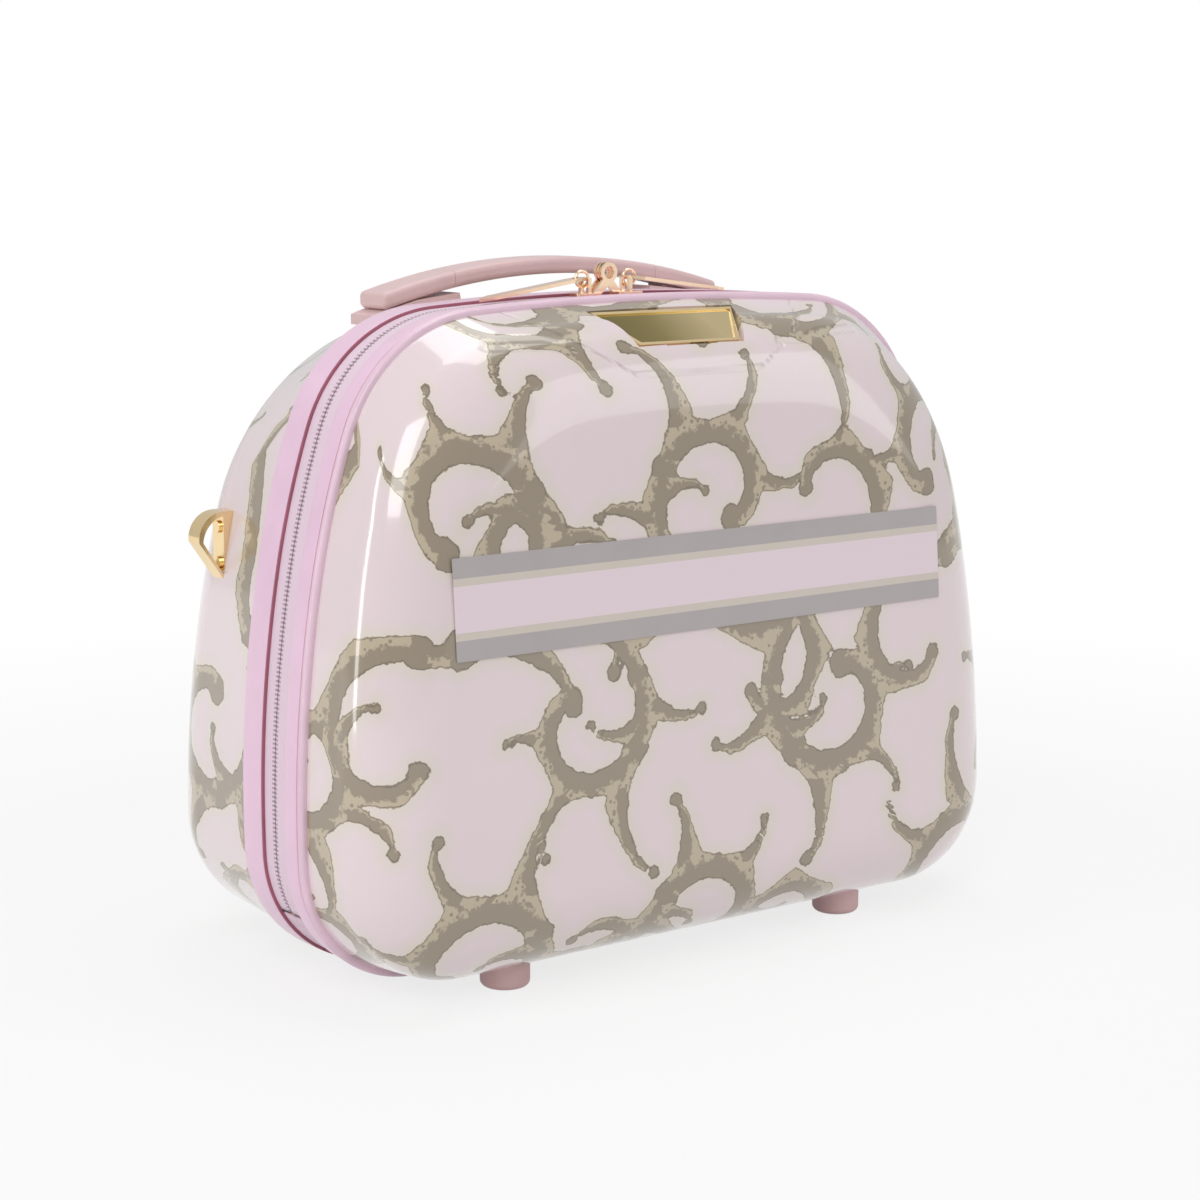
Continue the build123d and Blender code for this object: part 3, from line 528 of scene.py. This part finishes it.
def sinkPlateSeat(piece):
    # Cuts the trapezium's edges into the outer surface twice, and lowers what is inside the smaller
    work = bmesh.new()
    work.from_mesh(piece.data)
    for grow in (plateSeat["margin"], plateSeat["margin"] - plateSeat["lipSlope"]):
        for p, d in plateEdges(grow):
            origin = plateOrigin + np.array([1, 0, 0]) * p[0] + plateUp * p[1]
            normal = np.array([1, 0, 0]) * d[0] + plateUp * d[1]
            near = [f for f in work.faces
                    if (f.calc_center_median() - Vector(plateOrigin)).length < 0.052 and f.normal.z > 0.1]
            geometry = {item for f in near for item in (f, *f.edges, *f.verts)}
            bmesh.ops.bisect_plane(work, geom=list(geometry), plane_co=Vector(origin),
                                   plane_no=Vector(normal))
    work.to_mesh(piece.data)
    work.free()
    points = np.empty(len(piece.data.vertices) * 3)
    piece.data.vertices.foreach_get("co", points)
    points = points.reshape(-1, 3)
    offset = points - plateOrigin
    v, w = offset @ plateUp, offset @ plateNormal
    inside = outsidePlate(offset[:, 0], v, plateSeat["margin"] - plateSeat["lipSlope"]) < 1e-5
    inside &= (w > -plateSeat["depth"]) & (w < 0.012)
    sunk = offset[:, :1] * np.array([1, 0, 0]) + v[:, None] * plateUp - plateNormal * plateSeat["depth"]
    points[inside] = plateOrigin + sunk[inside]
    piece.data.vertices.foreach_set("co", points.ravel())
    piece.data.update()


reliefPanel = {"bottomHalf": 32.0, "topHalf": 62.0, "low": 239.0, "high": 256.0,
               "slotInner": (44.0, 30.0), "slotOuter": 95.0, "slotHeight": 249.0, "slotThick": 3.0,
               "slotGap": 14, "slotRise": 2.5, "riseFrom": 60, "riseOver": 10, "lineHalf": 0.7}


def reliefField(x, z):
    # Pressed lines of the lid's upper edge: a trapezium panel round the plate and a long slot each side,
    # as millimetres from the nearest line, kept to one either way
    r = reliefPanel
    x, z = x * 1000, z * 1000
    width = r["bottomHalf"] + (r["topHalf"] - r["bottomHalf"]) * (z - r["low"]) / (r["high"] - r["low"])
    panel = np.maximum(np.abs(x) - width, r["low"] - z)
    line = np.abs(panel) - r["lineHalf"]
    for sign, inner in zip((-1, 1), r["slotInner"]):
        along = sign * x
        slotZ = r["slotHeight"] + r["slotRise"] * np.clip((along - r["riseFrom"]) / r["riseOver"], 0, 1)
        ends = np.maximum(inner + r["slotGap"] - along, along - r["slotOuter"])
        slot = np.maximum(np.abs(z - slotZ) - r["slotThick"] / 2, ends)
        line = np.minimum(line, slot)
    return np.clip(line, -1, 1)


shellSharp = 35


def makeShell(name, form, node, seed, seat):
    # Outer surface from the face's middle to the rim and back along the inner one, with the print's
    # distances and the relief as point values
    outerScales = 1 - np.linspace(0, 1, 47)[1:-1] ** 0.9
    innerScales = 1 - np.linspace(0, 1, 12)[1:-1]
    wallRows = 12 if form["side"] < 0 else 24
    outer, x, z, normalX, normalZ, edgeRow = shellRows(form, 0, (5, wallRows, 28), outerScales)
    inner = shellRows(form, caseOutline["wall"], (2, 6, 12), innerScales)[0]
    if seat:
        offset = inner - plateOrigin
        u, v, w = offset[..., 0], offset @ plateUp, offset @ plateNormal
        covered = outsidePlate(u, v, 0.006) < 0
        lower = np.minimum(w, -plateSeat["depth"] - caseOutline["wall"])
        inner = np.where(covered[..., None], inner + (lower - w)[..., None] * plateNormal, inner)
    chart = unrolled(outer, x, z, normalX, normalZ, edgeRow)
    distance, across = scrollField(chart, seed)
    relief = np.ones_like(distance)
    if seat:
        relief = reliefField(outer[..., 0], outer[..., 2])
    columns, rows = outer.shape[1], len(outer) + len(inner)
    ends = [outer[-1].mean(axis=0), inner[-1].mean(axis=0)]
    points = np.concatenate([np.concatenate([outer[::-1], inner]).reshape(-1, 3), ends])
    faces = gridFaces(rows, columns, False, True) + ringFans(0, columns, rows * columns)
    faces += ringFans((rows - 1) * columns, columns, rows * columns + 1)
    far = np.full(inner.shape[:2], noScroll)
    values = []
    for label, outside, inside in (("scrollDistance", distance, far), ("scrollAcross", across, 0 * far),
                                   ("relief", relief, 0 * far + 1)):
        both = np.concatenate([outside[::-1], inside]).ravel()
        values.append((label, np.concatenate([both, [outside[-1].mean(), inside[-1].mean()]])))
    piece = fillMesh(name, points, faces, values, sharp=shellSharp)
    if seat:
        sinkPlateSeat(piece)
        piece.data.shade_smooth()
        piece.data.set_sharp_from_angle(angle=radians(shellSharp))
    return place(piece, "lid" if form["side"] < 0 else "base", shellPrint, (node,))


frontShell = makeShell("frontShell", lidForm, "front_shell", 11, True)
rearShell = makeShell("rearShell", baseForm, "rear_shell", 23, False)
print("shells made")

pathX, pathZ, pathNX, pathNZ = (row[0] for row in outlinePoints(0, 0))
pathLength = np.concatenate([[0], np.cumsum(np.hypot(np.diff(pathX), np.diff(pathZ)))])

liningCut = {"gap": 0.0036, "lipGap": 0.0002, "thick": 0.0008, "ramp": 0.007,
             "gather": 0.0007, "gatherShare": 0.6, "folds": 260, "foldDrift": 0.9, "foldWander": 37,
             "fineShare": 0.6, "fineFolds": 97, "fineSlant": 0.12, "rimRows": 4, "faceRows": 14,
             "handleX": (0.047, 0.091), "handleY": 0.051, "handleDepth": 0.0095, "handleClear": 0.0013,
             "handleAbove": 0.15, "studDepth": 0.0083, "studGrow": 0.0048, "studAbove": 0.2}


def nearRange(value, low, high, ramp):
    # 1 between low and high, falling smoothly to 0 over the ramp outside
    outside = np.maximum(low - value, value - high) / ramp
    return 0.5 + 0.5 * np.cos(np.pi * np.clip(outside, 0, 1))


def makeLining(name, form, node):
    # The shell's inner form moved in by the gap, with soft gathers that run down the walls, pressed
    # inwards over the fixings behind it, and a lip out to the shell at the rim
    c = liningCut
    scales = 1 - np.linspace(0, 1, 34)[1:-1]
    inset = caseOutline["wall"] + c["gap"]
    points, x, z, normalX, normalZ, edgeRow = shellRows(form, inset, (2, 16, 20), scales)
    along = pathLength[None, :]
    row = np.arange(len(points))[:, None]
    faceFade = np.clip((edgeRow + c["faceRows"] - row) / c["faceRows"], 0, 1)
    fade = np.clip(row / c["rimRows"], 0, 1) * faceFade
    gather = np.sin(along * c["folds"] + c["foldDrift"] * np.sin(along * c["foldWander"]))
    gather = gather + c["fineShare"] * np.sin(along * c["fineFolds"] + row * c["fineSlant"])
    inward = c["gather"] * fade * (1 + c["gatherShare"] * gather)
    points[..., 0] -= inward * normalX
    points[..., 2] -= inward * normalZ
    if form["side"] > 0:
        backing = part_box("handle_screws")[0].z - c["handleClear"]
        cover = nearRange(np.abs(points[..., 0]), *c["handleX"], c["ramp"])
        handleY = partingY + c["handleY"]
        low, high = handleY - c["handleDepth"], handleY + c["handleDepth"]
        cover *= nearRange(points[..., 1], low, high, c["ramp"])
        drop = np.clip(points[..., 2] - backing, 0, None) * (points[..., 2] > c["handleAbove"])
        points[..., 2] -= drop * cover
    else:
        offset = points - plateOrigin
        u, v, w = offset[..., 0], offset @ plateUp, offset @ plateNormal
        outside = outsidePlate(u, v, c["studGrow"])
        cover = nearRange(outside, -1, 0, c["ramp"])
        drop = np.clip(w + c["studDepth"], 0, None) * cover * (points[..., 2] > c["studAbove"])
        points = points - drop[..., None] * plateNormal
    lip = shellRows(form, caseOutline["wall"] + c["lipGap"], (2, 2, 2), scales[:1])[0][:1]
    points = np.concatenate([lip, points])
    rows, columns = points.shape[:2]
    flat = np.concatenate([points.reshape(-1, 3), [points[-1].mean(axis=0)]])
    faces = gridFaces(rows, columns, False, True)
    faces += ringFans((rows - 1) * columns, columns, rows * columns)
    piece = fillMesh(name, flat, faces, sharp=180)
    mesh = piece.data
    thicken = piece.modifiers.new("thickness", "SOLIDIFY")
    thicken.thickness = c["thick"]
    thicken.offset = -1
    lining = place(piece, "lid" if form["side"] < 0 else "base", liningCloth, (node,))
    # Reads the areas of the lining's faces, one side; nothing uses them afterwards
    areas = np.empty(len(mesh.polygons))
    mesh.polygons.foreach_get("area", areas)
    return lining


makeLining("lidLining", lidForm, "lid_lining")
makeLining("baseLining", baseForm, "base_lining")
print("linings made")


def roundedStrip(low, high, floor, top, edge, crown):
    # Closed cross-section of a strip, as (y, height): a flat underside, quarter-round edges of radius
    # edge, and a top that rises by crown in the middle
    turn = np.linspace(0, np.pi / 2, 6)
    left = np.stack([low + edge * (1 - np.cos(turn)), top - edge + edge * np.sin(turn)], axis=1)
    right = np.stack([high - edge * (1 - np.cos(turn)), left[:, 1]], axis=1)[::-1]
    across = np.linspace(0, 1, 9)[1:-1]
    lift = top + crown * np.sin(np.pi * across)
    middle = np.stack([low + edge + (high - low - 2 * edge) * across, lift], axis=1)
    return np.concatenate([[(low, floor)], left, middle, right, [(high, floor)]])


def bandPiece(name, profile, body, slot, material, replaced, above=None, below=None):
    # Carries a cross-section round the outline, each point set off along the outline's normal by its
    # height; cut off above or below a height where the tape ends there
    keep = np.ones(len(pathX), bool)
    if above is not None:
        keep &= pathZ > above
    if below is not None:
        keep &= pathZ < below
    order = np.arange(len(pathX))
    if below is not None:
        order = np.roll(order, len(order) // 2)
    order = order[keep[order]]
    x, z, nx, nz = (a[order][:, None] for a in (pathX, pathZ, pathNX, pathNZ))
    along = pathLength[order][:, None]
    y, height = profile[:, 0][None, :], profile[:, 1][None, :]
    points = np.stack([x + nx * height, partingY + y + 0 * x, z + nz * height], axis=2)
    uv = np.stack([along + 0 * y, y + 0 * along], axis=2)
    whole = above is None and below is None
    faces = gridFaces(len(order), profile.shape[0], whole, True)
    piece = fillMesh(name, points, faces, uv=uv)
    if not whole:
        work = bmesh.new()
        work.from_mesh(piece.data)
        bmesh.ops.holes_fill(work, edges=[e for e in work.edges if e.is_boundary])
        bmesh.ops.recalc_face_normals(work, faces=work.faces)
        work.to_mesh(piece.data)
        work.free()
    return place(piece, body, material, replaced)


mm = 0.001
# The strips of the band: cross-section in millimetres as roundedStrip takes it, body, slot, material
# and the CAD node that each replaces
bandStrips = {
    "rearTrim": ((8.5, 22.8, 0.02, 2.2, 0.7, 0.15), "base", "band_trim", bandPink, ("rear_trim",)),
    # The crimson strip on the rear trim's edge face is a painted shadow under its lip
    "rearTrimEdge": ((7.5, 8.45, 1.0, 2.25, 0.4, 0.02), "base", "band_piping", edgeCrimson, ()),
    "frontTrim": ((-18.0, -9.0, 0.02, 2.1, 0.7, 0.15), "lid", "band_trim", bandPink, ("front_trim",)),
    "frontPiping": ((-22.6, -18.3, 0.0, 2.6, 1.7, 0.3), "lid", "band_piping", pipingPink,
                    ("front_piping",)),
    # The darker rose strip in the groove between the front trim and the piping is painted shade
    "pipingEdge": ((-18.35, -17.9, 0.0, 2.0, 0.2, 0.0), "lid", "band_piping", edgeRose, ()),
}
for name, (section, body, slot, material, replaced) in bandStrips.items():
    bandPiece(name, roundedStrip(*(size * mm for size in section)), body, slot, material, replaced)

# The tapes of the zip, above their end height, and of the hinge, below it
tapeSizes = {"end": 32.05, "zipGap": 0.5, "hingeGap": 0.15, "reach": 15.5, "top": 0.95, "edge": 0.3,
             "zipCrown": 0.05, "hingeCrown": 0.02}
for label, body, sign in (("rear", "base", 1), ("front", "lid", -1)):
    for kind, cloth, limit in (("zip", zipTape, "above"), ("hinge", hingeTape, "below")):
        t = tapeSizes
        edges = sorted((sign * t[kind + "Gap"] * mm, sign * t["reach"] * mm))
        profile = roundedStrip(*edges, 0.0, t["top"] * mm, t["edge"] * mm, t[kind + "Crown"] * mm)
        bandPiece(label + kind.title() + "Tape", profile, body, "zip_tape", cloth,
                  (kind + "_tape_" + label,), **{limit: t["end"] * mm})
print("band made")

# Finishes of the carried-over pieces
finishes = {
    handleRose: ("handle_grip", "handle_end_left", "handle_end_right", "handle_mount_left",
                 "handle_mount_right"),
    gold: ("strap_loop_left", "strap_loop_right", "loop_rivets", "plate_frame", "zip_stops"),
    roseGold: ("slider_left", "slider_right", "pull_ring_left", "pull_ring_right", "zip_pull_left",
               "zip_pull_right"),
    steel: ("handle_core", "handle_pin_left", "handle_pin_right", "handle_screws", "front_foot_screws",
            "rear_foot_screws", "plate_clips", "loop_washers"),
    footRubber: ("front_feet", "rear_feet"),
    backingPlastic: ("handle_backing_left", "handle_backing_right"),
    plateMaterial(): ("name_plate",),
    stripMaterial(): ("front_strip",),
    coilPlastic: ("zip_coil_rear", "zip_coil_front"),
    pocketMesh: ("lid_pocket",),
    elasticTape: ("pocket_elastic",),
}
for material, names in finishes.items():
    for name in names:
        nodes[name].data.materials.clear()
        nodes[name].data.materials.append(material)

# Floor, light and camera
stageSize = {"floor": 12.0, "floorColour": (0.86, 0.86, 0.86), "glow": 0.78, "fadeFrom": 0.3, "fadeTo": 0.75}
floorMesh = bpy.data.meshes.new("floor")
half = stageSize["floor"] / 2
floorCorners = [(-half, -half, 0), (half, -half, 0), (half, half, 0), (-half, half, 0)]
floorMesh.from_pydata(floorCorners, [], [(0, 1, 2, 3)])
floor = bpy.data.objects.new("floor", floorMesh)
bpy.context.scene.collection.objects.link(floor)
floorPaint = bpy.data.materials.new("floorPaint")
floorPaint.use_nodes = True
tree = floorPaint.node_tree
shader = tree.nodes["Principled BSDF"]
shader.inputs["Base Color"].default_value = (*stageSize["floorColour"], 1)
shader.inputs["Roughness"].default_value = 0.9
shader.inputs["Specular IOR Level"].default_value = 0.1
glow = tree.nodes.new("ShaderNodeEmission")
mixer = tree.nodes.new("ShaderNodeMixShader")
rays = tree.nodes.new("ShaderNodeLightPath")
seen = mathNode(tree, "MAXIMUM", rays.outputs["Is Camera Ray"], rays.outputs["Is Glossy Ray"])
seen = mathNode(tree, "MAXIMUM", seen, rays.outputs["Is Transmission Ray"])
away = tree.nodes.new("ShaderNodeVectorMath")
away.operation = "LENGTH"
link(tree, objectPlace(tree), away.inputs[0])
fade = tree.nodes.new("ShaderNodeMapRange")
fade.inputs["From Min"].default_value = stageSize["fadeFrom"]
fade.inputs["From Max"].default_value = stageSize["fadeTo"]
fade.inputs["To Min"].default_value = stageSize["glow"]
link(tree, away.outputs["Value"], fade.inputs["Value"])
link(tree, mathNode(tree, "MULTIPLY", seen, fade.outputs[0]), mixer.inputs[0])
link(tree, shader.outputs[0], mixer.inputs[1])
link(tree, glow.outputs[0], mixer.inputs[2])
link(tree, mixer.outputs[0], tree.nodes["Material Output"].inputs[0])
floorMesh.materials.append(floorPaint)

world = bpy.data.worlds.new("studio")
bpy.context.scene.world = world
world.use_nodes = True
tree = world.node_tree
ambient = tree.nodes["Background"]
ambient.inputs[0].default_value = (1, 1, 1, 1)
rays = tree.nodes.new("ShaderNodeLightPath")
seen = mathNode(tree, "MAXIMUM", rays.outputs["Is Camera Ray"], rays.outputs["Is Transmission Ray"])
strength = mathNode(tree, "MULTIPLY_ADD", seen, 0.62, 0.38)
strength = mathNode(tree, "MULTIPLY_ADD", rays.outputs["Is Glossy Ray"], 0.25, strength)
link(tree, strength, ambient.inputs[1])

studioLights = (
    {"name": "keyLight", "place": (-1.5, -1.3, 1.7), "aim": (0, 0, 0.14), "size": (0.9, 1.4), "power": 16},
    {"name": "sideStrip", "place": (-1.7, 0.2, 0.6), "aim": (-0.1, 0, 0.15), "size": (0.25, 1.5), "power": 6},
    {"name": "topLight", "place": (0.3, 0.1, 1.9), "aim": (0, 0, 0.1), "size": (1.4, 1.0), "power": 11},
    {"name": "fillLight", "place": (1.4, -1.6, 0.9), "aim": (0, 0, 0.14), "size": (1.2, 1.2), "power": 5},
)
for lamp in studioLights:
    data = bpy.data.lights.new(lamp["name"], "AREA")
    data.shape = "RECTANGLE"
    data.size, data.size_y = lamp["size"]
    data.energy = lamp["power"]
    light = bpy.data.objects.new(lamp["name"], data)
    light.location = lamp["place"]
    towards = Vector(lamp["aim"]) - Vector(lamp["place"])
    light.rotation_euler = towards.to_track_quat("-Z", "Y").to_euler()
    bpy.context.scene.collection.objects.link(light)

cameraView = {"place": (-0.6625, -0.8820, 0.3255), "turn": 36.58, "dip": 9.63, "lens": 79.06,
              "shift": (0.0201, -0.0026)}
cameraData = bpy.data.cameras.new("view")
cameraData.sensor_width = 36
cameraData.lens = cameraView["lens"]
cameraData.shift_x, cameraData.shift_y = cameraView["shift"]
camera = bpy.data.objects.new("view", cameraData)
bpy.context.scene.collection.objects.link(camera)
camera.location = cameraView["place"]
turn, dip = radians(cameraView["turn"]), radians(cameraView["dip"])
ahead = Vector((sin(turn) * cos(dip), cos(turn) * cos(dip), -sin(dip)))
camera.rotation_euler = ahead.to_track_quat("-Z", "Y").to_euler()
bpy.context.scene.camera = camera
bpy.context.scene.view_settings.view_transform = "Standard"

print("scene ready")
